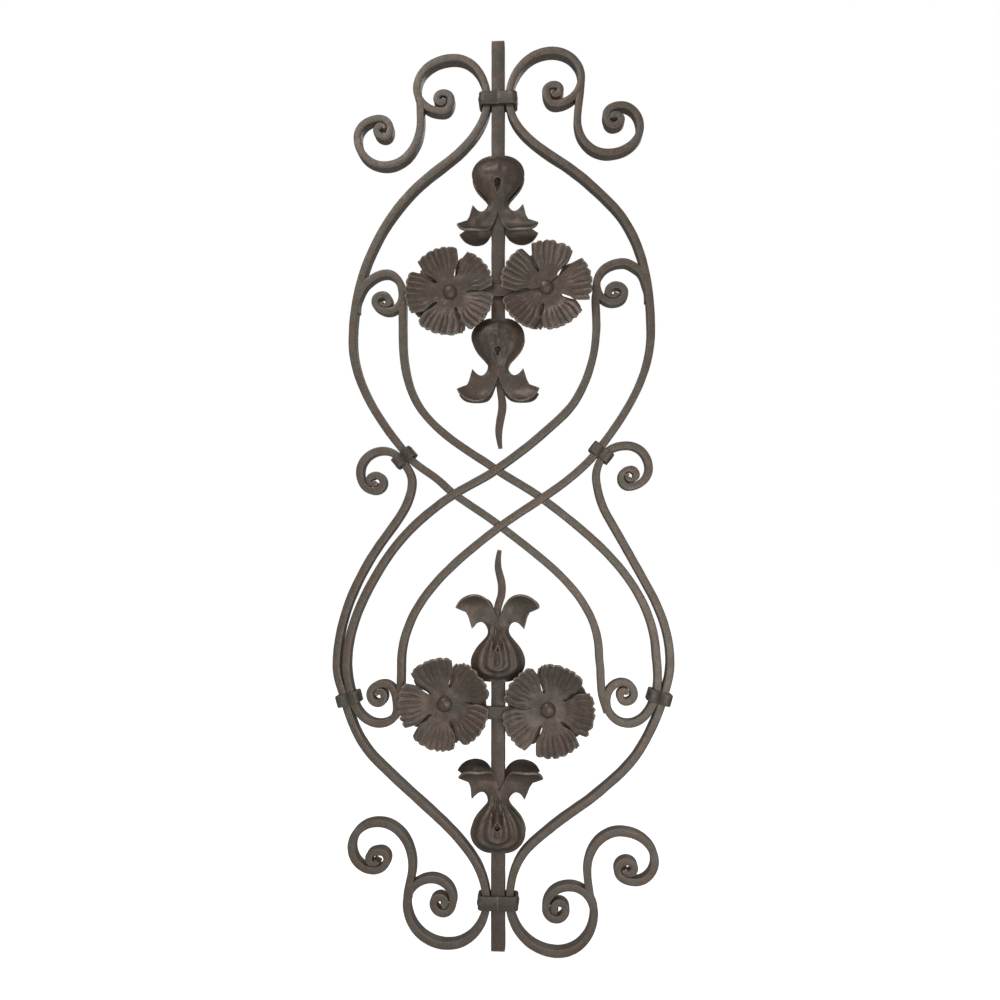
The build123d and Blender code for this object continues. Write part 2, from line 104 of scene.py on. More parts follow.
def forged_iron(name, skin, warm, cool, rubbed, roughness):
    """A waxed forge skin: patches, grain, rubbed edges and hammered unevenness."""
    material = bpy.data.materials.new(name)
    material.use_nodes = True
    tree = material.node_tree
    tree.nodes.clear()
    place = add_node(tree, "ShaderNodeTexCoord")
    patches = add_node(tree, "ShaderNodeTexNoise", Vector=(place, "Object"),
                       Scale=1 / PATCH_WIDE, Detail=3.0, Roughness=0.55)
    warm_part = add_node(tree, "ShaderNodeMapRange", Value=(patches, "Fac"),
                         **{"From Min": 0.42, "From Max": 0.62})
    stains = add_node(tree, "ShaderNodeTexNoise", Vector=(place, "Object"),
                      Scale=1 / STAIN_WIDE, Detail=4.0, Roughness=0.6)
    cool_part = add_node(tree, "ShaderNodeMapRange", Value=(stains, "Fac"),
                         **{"From Min": 0.5, "From Max": 0.72})
    base = add_node(tree, "ShaderNodeMix", {"data_type": "RGBA"},
                    Factor=(warm_part, "Result"), _6=linear(skin), _7=linear(warm))
    base = add_node(tree, "ShaderNodeMix", {"data_type": "RGBA"},
                    Factor=(cool_part, "Result"), _6=(base, 2), _7=linear(cool))
    grain = add_node(tree, "ShaderNodeTexNoise", Vector=(place, "Object"),
                     Scale=1 / GRAIN_WIDE, Detail=4.0, Roughness=0.7)
    speck = add_node(tree, "ShaderNodeMapRange", Value=(grain, "Fac"),
                     **{"From Min": 0.3, "From Max": 0.7, "To Min": 0.72, "To Max": 1.28})
    base = add_node(tree, "ShaderNodeVectorMath", {"operation": "SCALE"},
                    _0=(base, 2), Scale=(speck, "Result"))
    shape = add_node(tree, "ShaderNodeNewGeometry")
    edge = add_node(tree, "ShaderNodeMapRange", Value=(shape, "Pointiness"),
                    **{"From Min": 0.52, "From Max": 0.6})
    rub = add_node(tree, "ShaderNodeMath", {"operation": "MULTIPLY"},
                   _0=(edge, "Result"), _1=(grain, "Fac"))
    base = add_node(tree, "ShaderNodeMix", {"data_type": "RGBA"},
                    Factor=(rub, 0), _6=(base, 0), _7=linear(rubbed))
    gloss = add_node(tree, "ShaderNodeMapRange", Value=(stains, "Fac"),
                     **{"From Min": 0.3, "From Max": 0.7,
                        "To Min": roughness - 0.1, "To Max": roughness + 0.12})
    hammer = add_node(tree, "ShaderNodeTexNoise", Vector=(place, "Object"),
                      Scale=1 / DENT_WIDE, Detail=2.0, Roughness=0.5)
    dents = add_node(tree, "ShaderNodeBump", Height=(hammer, "Fac"),
                     Strength=0.5, Distance=DENT_DEEP)
    pores = add_node(tree, "ShaderNodeBump", Height=(grain, "Fac"), Normal=(dents, "Normal"),
                     Strength=0.4, Distance=PORE_DEEP)
    skin_shader = add_node(tree, "ShaderNodeBsdfPrincipled",
                           **{"Base Color": (base, 2), "Roughness": (gloss, "Result"),
                              "Normal": (pores, "Normal"), "Metallic": 0.35})
    add_node(tree, "ShaderNodeOutputMaterial", Surface=(skin_shader, "BSDF"))
    return material


finishes = {
    "bar": forged_iron("forge_scaled_bar_iron", "5C544A", "625347", "636059", "A29A8D", 0.48),
    "stem": forged_iron("waxed_square_bar_iron", "50463F", "594A40", "4E4A43", "8A8278", 0.52),
    "collar": forged_iron("wrapped_collar_iron", "4B443D", "554A40", "4F4D44", "9A9388", 0.48),
    "sheet": forged_iron("pressed_sheet_iron", "4C423A", "57483D", "47423A", "A89C8E", 0.45),
    "rivet": forged_iron("hammered_rivet_iron", "50453C", "5A4A3E", "4A443B", "B5AA9C", 0.38),
}
print("finishes:", ", ".join(finishes))

# %% [markdown]
# ## From a mesh to a piece
#
# Every piece is worked out in millimetres, as on a drawing, and shrunk to metres at the end.
# Its object stays at the origin, so patterns and exports find it where it is. One function does
# this for all: it turns the faces outwards, shades them smooth apart from real edges, and hides
# the node that the piece stands for.

# %% Make a piece
SHARP_DEGREES = 38


def make_piece(bm, name, slot):
    """Turns a mesh in millimetres into the piece that stands for a node."""
    bmesh.ops.recalc_face_normals(bm, faces=bm.faces)
    bmesh.ops.scale(bm, vec=(MM, MM, MM), verts=bm.verts)
    for face in bm.faces:
        face.smooth = True
    mesh = bpy.data.meshes.new(name)
    bm.to_mesh(mesh)
    bm.free()
    mesh.set_sharp_from_angle(angle=radians(SHARP_DEGREES))
    mesh.materials.append(finishes[slot])
    piece = bpy.data.objects.new(f"{name}_forged", mesh)
    bpy.context.scene.collection.objects.link(piece)
    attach(piece, "root")
    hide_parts(name)
    return piece


print("edges over", SHARP_DEGREES, "degrees stay sharp")

# %% [markdown]
# ## Bending a bar
#
# A smith bends a straight bar round a form, and so does this script. A bar's line is a few
# marks: where it passes, and which way it heads there. Between two marks runs one Bezier bend.
# Its handles are as long as John Hobby's rule makes them, because that gives round, even bends
# like those of hot iron. The straight stock is a bevelled cube, cut into short lengths, and
# each of its points is carried to its place beside the line.

# %% The line of a bar
STATION = 1.6
BEND_POINTS = 40
GOLDEN = (sqrt(5) - 1) / 2


def turned(angle):
    return (angle + pi) % (2 * pi) - pi


def reach(leave, arrive):
    """How far a handle reaches, as a share of the chord, for a round bend."""
    skew = (sin(leave) - sin(arrive) / 16) * (sin(arrive) - sin(leave) / 16)
    skew *= sqrt(2) * (cos(leave) - cos(arrive))
    round_off = 1 + GOLDEN * cos(leave) + (3 - sqrt(5)) / 2 * cos(arrive)
    return (2 + skew) / (3 * round_off)


def heading_vector(degrees):
    return Vector((cos(radians(degrees)), 0, sin(radians(degrees))))


def bend(start, end):
    """One bend between two marks, as many points."""
    p0, p1 = Vector((start[0], 0, start[1])), Vector((end[0], 0, end[1]))
    chord = p1 - p0
    along = atan2(chord.z, chord.x)
    leave = turned(radians(start[2]) - along)
    arrive = turned(along - radians(end[2]))
    out = p0 + heading_vector(start[2]) * reach(leave, arrive) * chord.length
    back = p1 - heading_vector(end[2]) * reach(arrive, leave) * chord.length
    return interpolate_bezier(p0, out, back, p1, BEND_POINTS)


def size_at(mark, stock):
    """The face and depth at a mark: its own where it gives them, else those of the stock."""
    own = mark[3:]
    return [*own, *stock[len(own):]]


def line_of(marks, face, depth):
    """Even stations along a bar: (place, face width, depth)."""
    points, sizes = [], []
    stock = (face, depth)
    for start, end in zip(marks, marks[1:]):
        first, last = size_at(start, stock), size_at(end, stock)
        for i, point in enumerate(bend(start, end)):
            share = i / (BEND_POINTS - 1)
            points.append(point)
            sizes.append([a + (b - a) * share for a, b in zip(first, last)])
    lengths = [0.0]
    for a, b in zip(points, points[1:]):
        lengths.append(lengths[-1] + (b - a).length)
    count = max(2, round(lengths[-1] / STATION))
    stations, k = [], 0
    for i in range(count + 1):
        target = lengths[-1] * i / count
        while k < len(points) - 2 and lengths[k + 1] < target:
            k += 1
        span = lengths[k + 1] - lengths[k]
        share = (target - lengths[k]) / span if span else 0.0
        place = points[k].lerp(points[k + 1], share)
        size = [a + (b - a) * share for a, b in zip(sizes[k], sizes[k + 1])]
        stations.append((place, *size))
    return stations, lengths[-1]


print("a quarter bend's handle reaches", round(reach(pi / 4, pi / 4), 3), "of its chord")

# %% Straight stock, and its bending
def long_edges(bm, least):
    return [e for e in bm.edges if abs(e.verts[0].co.x - e.verts[1].co.x) > least]


def straight_stock(length, face, depth, corner, count):
    """A straight bar with rounded corners along X, cut into count lengths."""
    bm = bmesh.new()
    bmesh.ops.create_cube(bm, size=1.0)
    bmesh.ops.scale(bm, vec=(length, depth, face), verts=bm.verts)
    bmesh.ops.translate(bm, vec=(length / 2, 0, 0), verts=bm.verts)
    bmesh.ops.bevel(bm, geom=long_edges(bm, length / 2), offset=corner, offset_type="OFFSET",
                    segments=3, profile=0.5, affect="EDGES", material=-1)
    for share in (-0.25, 0, 0.25):
        bmesh.ops.bisect_plane(bm, geom=[*bm.verts, *bm.edges, *bm.faces],
                               plane_co=(0, depth * share, 0), plane_no=(0, 1, 0))
    bmesh.ops.bisect_plane(bm, geom=[*bm.verts, *bm.edges, *bm.faces],
                           plane_co=(0, 0, 0), plane_no=(0, 0, 1))
    bmesh.ops.subdivide_edges(bm, edges=long_edges(bm, length / 2), cuts=count - 1,
                              use_grid_fill=True)
    return bm


HAMMER_FACE = 15.0
HAMMER_DEPTH = 0.28
RIDGE_HALF = 3.2


def hammered(point, seed, amount):
    """How far the hammer has moved the skin at a point of the straight bar."""
    broad = noise.noise(Vector((point.x / HAMMER_FACE, point.y / 9, point.z / 9 + seed)))
    fine = noise.noise(Vector((point.x / 5, point.y / 4, point.z / 4 + seed + 40)))
    return amount * (broad + 0.35 * fine)


def bend_stock(bm, stations, length, face, depth, wide, seed, set_back=0.0,
               amount=HAMMER_DEPTH, ridge=0.0):
    """Carries each point of straight stock to its place beside the line."""
    last = len(stations) - 1
    for vert in bm.verts:
        flat = vert.co.copy()
        k = min(last, max(0, flat.x / length * last))
        i = min(last - 1, int(k))
        share = k - i
        place = stations[i][0].lerp(stations[i + 1][0], share)
        face_here = stations[i][1] + (stations[i + 1][1] - stations[i][1]) * share
        depth_here = stations[i][2] + (stations[i + 1][2] - stations[i][2]) * share
        before, after = stations[max(0, i - 1)][0], stations[min(last, i + 2)][0]
        along = (after - before).normalized()
        across = along.cross(wide)
        outward = Vector((0, flat.y / depth, flat.z / face)).normalized()
        push = hammered(flat, seed, amount * min(1, face_here / face))
        y = flat.y * depth_here / depth + outward.y * push + set_back
        z = flat.z * face_here / face + outward.z * push
        if ridge and across.dot(place) * z > 0:
            z += ridge * min(1, max(0, RIDGE_HALF - abs(flat.y))) * (1 if z > 0 else -1)
        vert.co = place + across * z + wide * y


print("hammer marks", HAMMER_FACE, "mm long and", HAMMER_DEPTH, "mm deep")

# %% [markdown]
# ## The scroll bars
#
# The scrolls are 14 by 8 mm flat bar, bent on edge so that the 8 mm side faces the viewer. The
# eyes of the scrolls are drawn down thin on the anvil first, so the last marks of a bar have a
# narrower face. A mark is where the bar passes, in millimetres from the foot of the stem, its
# heading in degrees, and its face and depth where they differ from the stock. Each pair that
# meets in a collar lies side by side there, half a bar's width each side of its middle.

# %% Sizes of the stock and places that several bars share
STEM_SIDE = 14.0
BAR_FACE = 8.0
BAR_DEPTH = 14.0
BAR_CORNER = 1.1
COLLAR_PLAY = 1.4
PAIR_GAP = 0.3
NECK = STEM_SIDE / 2 + COLLAR_PLAY + BAR_FACE / 2
SIDE_BY_SIDE = (BAR_FACE + PAIR_GAP) / 2

TOP_COLLAR = (0, 932.5, 270)
BOTTOM_COLLAR = (0, 50, 270)
LEFT_WAIST = (-104.5, 526.5, 309)
RIGHT_WAIST = (113, 530.5, 232)
LOWER_LEFT = (-163.5, 262, 286)
LOWER_RIGHT = (173, 266.5, 253)


def beside(place, side):
    """The mark of a bar that passes a collar's middle on one side."""
    x, z, heading = place
    off = side * SIDE_BY_SIDE
    return (x - off * sin(radians(heading)), z + off * cos(radians(heading)), heading)


MAIN_FALL, MAIN_RISE = (2.5, 450, 322), (2.5, 450, 217)
UPPER_FALL, UPPER_RISE = (-2, 512.5, 325), (-2, 512.5, 215)
LEFT_FALL, LEFT_RISE = (-48.5, 485.5, 324), (-48.5, 485.5, 212)
RIGHT_FALL, RIGHT_RISE = (48, 480.5, 323), (48, 480.5, 214)
print("bars at a stem collar stand", NECK, "mm from the middle")

# %% The marks of each bar
bar_marks = {
    "left_main_bar": [
        (-61, 935, 270, 3), (-65, 930.5, 180, 4), (-69.8, 935.5, 90, 5), (-62.5, 942, 0, 6),
        (-53.4, 934, 270), (-63, 920.5, 180), (-92.6, 948, 90), (-51.4, 982.8, 0),
        (-NECK, 932.5, 270), (-53.7, 864.6, 219), (-94, 831.7, 225), (-163.4, 660, 270),
        beside(LEFT_WAIST, 1), (-66, 501, 320), LEFT_FALL, MAIN_FALL,
        (109, 312, 270), (110.5, 292, 270), (111.3, 274, 272), (117, 250, 287, 5, 13),
    ],
    "right_main_bar": [
        (61, 941, 270, 3), (65, 936.5, 0, 4), (70.2, 941.5, 90, 5), (63, 947.6, 180, 6),
        (54, 940.5, 270), (64.5, 925.4, 0), (93.9, 955, 90), (60, 987.4, 180),
        (NECK, 932.5, 270), (69.4, 859.6, 326), (125.6, 809.5, 313), (168.6, 665, 270),
        beside(RIGHT_WAIST, -1), RIGHT_RISE, MAIN_RISE, (-106, 300, 270),
        (-106.3, 274, 269), (-108.6, 250, 264, 5, 13),
    ],
    "left_inner_bar": [
        (-107.3, 713, 270, 7.2), (-107.2, 700, 269), (-107, 672, 270), (-85, 579, 306),
        UPPER_FALL, RIGHT_FALL,
        (170, 315, 273), beside(LOWER_RIGHT, -1), (139, 238.5, 180), (116.4, 262, 90),
        (134, 282, 0, 7.5), (146, 270, 270, 6.5), (137, 261.5, 180, 5),
        (131, 268.5, 90, 4.5), (136, 273.5, 0, 4), (139, 269.5, 270, 3),
    ],
    "right_inner_bar": [
        (109, 716, 270, 7.2), (108, 703, 271), (109, 675, 270), (85.5, 589, 238),
        (48, 551, 222), UPPER_RISE,
        LEFT_RISE, (-128, 407.5, 238), (-166, 300, 270), beside(LOWER_LEFT, 1),
        (-129, 235.6, 0), (-110, 252, 90), (-125, 278.5, 180, 7.5), (-139.5, 267, 270, 6.5),
        (-130.5, 257.5, 0, 5), (-124, 265, 90, 4.5), (-129, 270.5, 180, 4),
        (-133, 266.5, 270, 3),
    ],
    "left_outer_bar": [
        (-135.2, 499.4, 250, 2.6), (-138.2, 496.6, 180, 3.2), (-143, 500.5, 90, 4),
        (-135.3, 506.6, 0, 5), (-127.2, 498.3, 270, 5.8), (-137.1, 489.2, 180, 6.8),
        (-153.3, 510, 90), (-127.8, 534, 0), beside(LEFT_WAIST, -1), (-95.5, 498, 268),
        (-131.7, 428.7, 236), (-177, 298, 270), beside(LOWER_LEFT, -1), (-132, 196, 317),
        (-74, 144.5, 319), (-NECK, 50, 270), (-54, 4.2, 180), (-97.8, 46, 90),
        (-71, 72.5, 0), (-48, 51, 270, 7.5), (-58.5, 37.3, 180, 6.5), (-69.2, 47.5, 90, 5.5),
        (-62, 54, 0, 4.5), (-56.5, 48.5, 270, 4), (-60, 45, 180, 3),
    ],
    "right_outer_bar": [
        (142.6, 506.8, 200, 2.4), (139.9, 504.7, 270, 3.2), (144.8, 500.2, 0, 4),
        (150.8, 505.7, 90, 4.8), (143.8, 512, 180, 5.5), (134.2, 503.1, 270, 6),
        (142.5, 492.9, 0), (164.5, 513, 90), (141, 538, 180), beside(RIGHT_WAIST, 1),
        (107.5, 500, 276), (119.8, 460, 300), (162, 384, 299), (185, 305, 270),
        beside(LOWER_RIGHT, 1), (150.5, 209, 237), (105.7, 164, 220), (57.5, 128.5, 220),
        (24, 96, 238), (NECK, 50, 270), (63, -1, 0), (101.7, 41, 90), (76, 67.3, 180),
        (50.7, 45, 270, 7.5), (62, 33.6, 0, 6.5), (72, 44, 90, 5.5), (65, 51, 180, 4.5),
        (59.3, 44.5, 270, 4), (63, 41, 0, 3),
    ],
    "upper_left_side_scroll": [
        (-160, 690, 88, 4, 13), (-158, 706, 68, 7.6), (-147, 724.8, 40), (-126.4, 734.3, 0),
        (-107.4, 709.5, 270),
        (-123.6, 691, 180, 6.6), (-138.3, 702.7, 90, 5.5), (-129.4, 709.8, 0, 4.8),
        (-122.5, 702.4, 270, 4), (-127.6, 697.6, 180, 3.2), (-131, 701, 80, 2.6),
    ],
    "upper_right_side_scroll": [
        (166, 697, 92, 4, 13), (164.6, 713.5, 110, 7.6), (154.6, 734.2, 145), (138.2, 742, 180),
        (109.3, 717.7, 270),
        (127.2, 697.2, 0, 6.6), (140.2, 707.5, 90, 5.5), (130.5, 716.4, 180, 4.8),
        (121.9, 708.8, 270, 4), (128, 703.6, 0, 3.2), (132, 707.4, 95, 2.6),
    ],
    "upper_left_corner_curl": [
        (-88.7, 936, 270), (-88, 910, 270), (-127.8, 859.2, 180), (-160.3, 892.5, 90),
        (-136.4, 914, 0, 7.2), (-122.8, 902, 270, 5.8), (-129, 891.9, 180, 5),
        (-138.2, 900.2, 90, 4.2), (-132, 905.7, 0, 3.6), (-129.2, 901.8, 270, 2.6),
    ],
    "upper_right_corner_curl": [
        (93.5, 948, 266), (89.2, 905, 270), (123.2, 867.1, 0), (159, 896, 90),
        (137.3, 921.7, 180, 7.2), (121.2, 910.5, 270, 5.8), (128.8, 898, 0, 5),
        (138.1, 905, 90, 4.2), (131.6, 910.8, 180, 3.6), (128, 906.4, 270, 2.6),
    ],
    "lower_left_corner_curl": [
        (-97, 50, 94), (-92.1, 85.3, 90), (-129.7, 130.4, 180), (-158.1, 104.2, 270),
        (-134.1, 80.2, 0, 7.2), (-119.4, 92.8, 90, 6), (-127, 100.3, 180, 5),
        (-139.2, 93.3, 270, 4.2), (-133.9, 87.2, 0, 3.4), (-130, 90.8, 90, 2.6),
    ],
    "lower_right_corner_curl": [
        (98, 54, 94), (94.8, 83.7, 90), (130.7, 125, 0), (166, 95.7, 270),
        (145, 73.9, 180, 7.2), (126.6, 85.8, 90, 6), (136.5, 95.2, 0, 5),
        (144.4, 88.2, 270, 4.2), (138.5, 82.3, 180, 3.4), (134, 86.6, 90, 2.6),
    ],
}
print("bars marked out:", len(bar_marks))

# %% [markdown]
# ## Closing the coils
#
# Hammering spreads the face of a bar a little. The thin end of a scroll is rolled up tight like
# a snail, so its turns spread until only a dark line is left between one and the next.

# %% Forge the bars
SPREAD = 0.5
TURN_GAP = 0.35
EYE = 105.0
SAME_TURN = 13.0
MOST_ROOM = 9.0
MOST_SPREAD = 3
SPREAD_ROUNDS = 6


def close_coils(stations, face):
    """Spreads the drawn-down turns of a coil until only a dark line is left between them."""
    far, near = int(EYE / STATION), int(SAME_TURN / STATION)
    most = [min(face, width * MOST_SPREAD) if width < face - 0.05 else width
            for _, width, _ in stations]
    for _ in range(SPREAD_ROUNDS):
        halves = [width / 2 for _, width, _ in stations]
        grown = []
        for i, (place, width, depth) in enumerate(stations):
            room = MOST_ROOM
            for j in range(max(0, i - far), min(len(stations), i + far + 1)):
                if abs(i - j) > near:
                    gap = (place - stations[j][0]).length - halves[i] - halves[j]
                    room = min(room, gap)
            wider = width + max(0, room - TURN_GAP)
            grown.append((place, max(width, min(most[i], wider)), depth))
        stations = grown
    return stations


def forge(name, marks, slot, face, depth, corner, seed, set_back=0.0):
    """Bends straight stock along its marks; the scroll bars also get closed coils."""
    stations, length = line_of(marks, face, depth)
    if slot == "bar":
        stations = [(place, width + SPREAD * width / face, deep)
                    for place, width, deep in stations]
        stations = close_coils(stations, face)
    bm = straight_stock(length, face, depth, corner, len(stations) - 1)
    bend_stock(bm, stations, length, face, depth, DEPTH_WAY, seed, set_back)
    return make_piece(bm, name, slot)


bars = {}
for seed, (name, marks) in enumerate(bar_marks.items()):
    bars[name] = forge(name, marks, "bar", BAR_FACE, BAR_DEPTH, BAR_CORNER, seed * 7.3)
    print(name, "faces", len(bars[name].data.polygons))

# %% [markdown]
# ## Half laps
#
# Where two bars cross, each loses half its depth, so that both lie flush. The rising bars keep
# their front half. A Boolean modifier takes a box out of each bar, as a saw and chisel would.

# %% Cut the half laps
LAP_GAP = 0.3
LAP_SIDE_ROOM = 0.4
LAP_REACH = 5 * BAR_FACE
LAP_PAST = 2


def lap_cutter(crossing, way):
    """A box along the other bar through the front (-1) or back (1) half."""
    bm = bmesh.new()
    bmesh.ops.create_cube(bm, size=1.0)
    size = (LAP_REACH, BAR_DEPTH / 2 + LAP_PAST, BAR_FACE + SPREAD + 2 * LAP_SIDE_ROOM)
    bmesh.ops.scale(bm, vec=size, verts=bm.verts)
    shift = way * (size[1] / 2 - LAP_GAP / 2)
    x, z, heading = crossing
    turn = Matrix.Rotation(-radians(heading), 4, "Y")
    place = Matrix.Translation(Vector((x, shift, z)))
    bmesh.ops.transform(bm, matrix=Matrix.Scale(MM, 4) @ place @ turn, verts=bm.verts)
    mesh = bpy.data.meshes.new("lap_cutter")
    bm.to_mesh(mesh)
    bm.free()
    cutter = bpy.data.objects.new("lap_cutter", mesh)
    bpy.context.scene.collection.objects.link(cutter)
    return cutter


def carve(piece, cutters):
    """Takes the cutters out of a piece, and keeps the result as its mesh."""
    for cutter in cutters:
        cut = piece.modifiers.new("cut", "BOOLEAN")
        cut.operation, cut.solver, cut.object = "DIFFERENCE", "EXACT", cutter
    graph = bpy.context.evaluated_depsgraph_get()
    mesh = bpy.data.meshes.new_from_object(piece.evaluated_get(graph))
    piece.modifiers.clear()
    piece.data = mesh
    for cutter in cutters:
        bpy.data.objects.remove(cutter)


laps = {
    "left_main_bar": ([MAIN_RISE, LEFT_RISE], -1),
    "left_inner_bar": ([UPPER_RISE, RIGHT_RISE], -1),
    "right_main_bar": ([MAIN_FALL, RIGHT_FALL], 1),
    "right_inner_bar": ([UPPER_FALL, LEFT_FALL], 1),
}
for name, (crossings, way) in laps.items():
    carve(bars[name], [lap_cutter(crossing, way) for crossing in crossings])
print("half laps cut")

# %% [markdown]
# ## The two stems and their tails
#
# The stems are 14 mm square bar. Their leaf ends are drawn out to a wavy point on the anvil, so
# the same bending makes them: only the face and the depth shrink along the way.

# %% Stems
STEM_SPREAD = 0.8
STEM_CORNER = 1.0
stem_marks = {
    "upper_stem": [
        (0, 1000, 270), (0, 660, 270), (0, 627, 270, 7, 7), (2, 603, 278, 7.5, 7),
        (4.6, 584, 270, 9, 7), (2, 566, 261, 8.5, 7), (0.6, 553, 270, 7.5, 6.5),
        (2.4, 536, 280, 4.5, 5),
    ],
    "lower_stem": [
        (0, 0, 90), (0, 300, 90), (0, 333, 92, 7, 7), (-1.2, 356, 85, 8, 7),
        (2.4, 371, 70, 8.5, 7), (4, 384, 92, 8.5, 7), (1.8, 396, 105, 8, 7),
        (-0.3, 408, 90, 7, 6.5), (1.6, 424, 76, 4.5, 5),
    ],
}
for seed, (name, marks) in enumerate(stem_marks.items()):
    forge(name, marks, "stem", STEM_SIDE + STEM_SPREAD, STEM_SIDE, STEM_CORNER, 90 + seed)

# %% [markdown]
# ## The cross straps
#
# A short flat strap crosses each stem in front and carries a flower at each end.

# %% Straps
STRAP_FACE = 14.0
STRAP_THICK = 5.0
STRAP_CORNER = 0.9
STRAP_MIDDLE = -(STEM_SIDE + STRAP_THICK) / 2
strap_marks = {
    "upper_cross_strap": [(-62, 708, 2), (0, 711, 2), (62, 713.5, 2)],
    "lower_cross_strap": [(-66, 260.5, 350), (-14, 250, 356), (14, 249.5, 3), (63, 254.5, 6)],
}
for seed, (name, marks) in enumerate(strap_marks.items()):
    forge(name, marks, "stem", STRAP_FACE, STRAP_THICK, STRAP_CORNER, 120 + seed,
          STRAP_MIDDLE)
print("stems and straps forged")

# %% [markdown]
# ## Collars
#
# A collar is a short strap wrapped hot round the bars. Its two ends meet in front, between the
# bars, and are tapped down into the joint. So its line is a rounded rectangle round the bars,
# which dips a little at the seam, and the same stock is bent round it.

# %% Collars
COLLAR_WALL = 4.0
COLLAR_FIT = 0.2
COLLAR_TURN = 3.2
COLLAR_CORNER = 1.2
COLLAR_STEP = 0.8
COLLAR_DENTS = 0.3
SEAM = 0.25


def collar_line(half_width, half_depth, dip):
    """The middle of the wall, once round the bars from the seam to the seam."""
    corner = COLLAR_TURN
    w, d = half_width + COLLAR_WALL / 2, half_depth + COLLAR_WALL / 2
    front = []
    for step in range(9):
        share = step / 8
        x = SEAM + (w - corner - SEAM) * share
        front.append(Vector((x, -d + dip * (1 - share) ** 2.5, 0)))
    line = list(front)
    for x, y, start in ((w, -d, 270), (w, d, 0), (-w, d, 90), (-w, -d, 180)):
        middle = Vector((x - corner * (1 if x > 0 else -1), y - corner * (1 if y > 0 else -1), 0))
        for step in range(1, 8):
            a = radians(start + 90 * step / 8)
            line.append(middle + Vector((cos(a), sin(a), 0)) * corner)
    return line + [Vector((-p.x, p.y, 0)) for p in reversed(front)]


def even_line(line, spacing):
    """The same line with evenly spaced points."""
    lengths = [0.0]
    for a, b in zip(line, line[1:]):
        lengths.append(lengths[-1] + (b - a).length)
    count = ceil(lengths[-1] / spacing)
    out, k = [], 0
    for i in range(count + 1):
        target = lengths[-1] * i / count
        while k < len(line) - 2 and lengths[k + 1] < target:
            k += 1
        span = lengths[k + 1] - lengths[k]
        out.append(line[k].lerp(line[k + 1], (target - lengths[k]) / span))
    return out, lengths[-1]


def wrap_collar(name, place, half_width, length, dip, ridge, seed):
    """Bends a collar round its bars, then turns it to lie square across them."""
    loop = collar_line(half_width, BAR_DEPTH / 2 + COLLAR_FIT, dip)
    line, around = even_line(loop, COLLAR_STEP)
    stations = [(point, COLLAR_WALL, length) for point in line]
    bm = straight_stock(around, COLLAR_WALL, length, COLLAR_CORNER, len(stations) - 1)
    bend_stock(bm, stations, around, COLLAR_WALL, length, Vector((0, 0, 1)), seed,
               amount=COLLAR_DENTS, ridge=ridge)
    x, z, heading = place
    across = Vector((sin(radians(heading)), 0, -cos(radians(heading))))
    along = across.cross(DEPTH_WAY)
    turn = Matrix((across, DEPTH_WAY, along)).transposed().to_4x4()
    move = Matrix.Translation(Vector((x, 0, z)))
    bmesh.ops.transform(bm, matrix=move @ turn, verts=bm.verts)
    return make_piece(bm, name, "collar")


# half width inside, length along the bars, dip at the seam, height of the ridge
STEM_COLLAR = (NECK + BAR_FACE / 2 + 1.3, 15.0, 1.0, 0.9)
SIDE_COLLAR = (SIDE_BY_SIDE + BAR_FACE / 2 + 1.1, 13.0, 3.2, 0.0)
collars = {
    "top_collar": (TOP_COLLAR, STEM_COLLAR),
    "bottom_collar": (BOTTOM_COLLAR, STEM_COLLAR),
    "left_waist_collar": (LEFT_WAIST, SIDE_COLLAR),
    "right_waist_collar": (RIGHT_WAIST, SIDE_COLLAR),
    "lower_left_collar": (LOWER_LEFT, SIDE_COLLAR),
    "lower_right_collar": (LOWER_RIGHT, SIDE_COLLAR),
}
for seed, (name, (place, build)) in enumerate(collars.items()):
    wrap_collar(name, place, *build, 201 + seed)
print("collars wrapped")

# %% [markdown]
# ## The flowers
#
# Each flower is one disc of sheet with five slots sawn in from its edge. The petals between
# them are cupped, their edges filed into scallops, and veins are chased in with a blunt chisel.
# One petal is a grid, carried from flat rows and columns to rings and rays. Five of them meet
# at the hub, and Solidify gives the sheet its thickness.

# %% Petals
SHEET = 2.5
PETALS = 5
HUB = 18.0
HOLE = 4.2
SLOT_HALF = 2.0
SLOT_TAPER_FROM = 28.0
SLOT_NARROW = 34.0
SLOT_TAPER = 1.2
NOTCH_GROWTH = 5.8
TEETH = 5.5
TOOTH_DEEP = 2.2
VEINS = 7
VEIN_DEEP = 0.7
CUP = 7.4
FLUTE = 0.9


def slot_half_width(r, radius):
    """Half the gap between two petals: a drop near the hub, a notch at the edge."""
    if r < SLOT_TAPER_FROM:
        return SLOT_HALF * sqrt(min(1, max(0, r - HUB) / 3))
    if r < SLOT_NARROW:
        share = (r - SLOT_TAPER_FROM) / (SLOT_NARROW - SLOT_TAPER_FROM)
        return SLOT_HALF - SLOT_TAPER * share
    share = (r - SLOT_NARROW) / (radius - SLOT_NARROW)
    return SLOT_HALF - SLOT_TAPER + NOTCH_GROWTH * share ** 1.25


